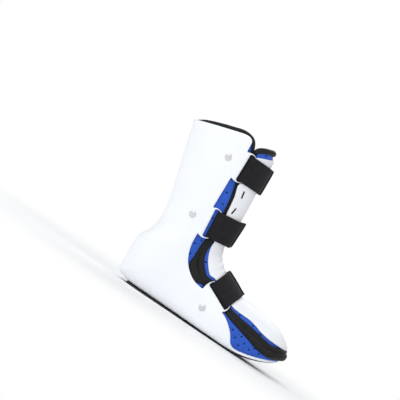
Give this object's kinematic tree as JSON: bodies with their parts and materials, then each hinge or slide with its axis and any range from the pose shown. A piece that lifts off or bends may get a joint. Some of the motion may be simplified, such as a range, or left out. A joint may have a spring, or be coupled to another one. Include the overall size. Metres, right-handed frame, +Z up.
{
  "type": "ankle rehabilitation shoe",
  "caption": "Stiff moulded ankle brace boot with slotted strap tabs, a perforated foam liner with soft rolled edges, a padded tongue under a cover plate, and riveted webbing straps.",
  "frame": {"origin": "on the floor under the middle of the boot's bounding box", "axes": "+X from heel to toe, +Y to the inner side of the right foot, +Z up along the leg"},
  "size_m": [0.2836, 0.1086, 0.259],
  "materials": {
    "shell_plastic": "satin white",
    "cover_plastic": "smooth off-white",
    "liner_foam": "perforated blue foam cloth",
    "edge_fabric": "soft black binding",
    "webbing": "woven black webbing",
    "rivet_metal": "satin",
    "outsole_rubber": "matt black"
  },
  "bodies": {
    "root": {"shell": "shell_plastic", "outsole": "outsole_rubber", "liner": "liner_foam", "liner_edge": "edge_fabric", "tongue_pad": "liner_foam", "tongue_edge": "edge_fabric", "tongue_plate": "cover_plastic", "strap_upper_outer": "webbing", "strap_upper_inner": "webbing", "strap_middle_outer": "webbing", "strap_middle_inner": "webbing", "strap_lower_outer": "webbing", "strap_lower_inner": "webbing", "rivet_upper_outer": "rivet_metal", "rivet_upper_inner": "rivet_metal", "rivet_middle_outer": "rivet_metal", "rivet_middle_inner": "rivet_metal", "rivet_lower_outer": "rivet_metal", "rivet_lower_inner": "rivet_metal"}
  },
  "joints": []
}
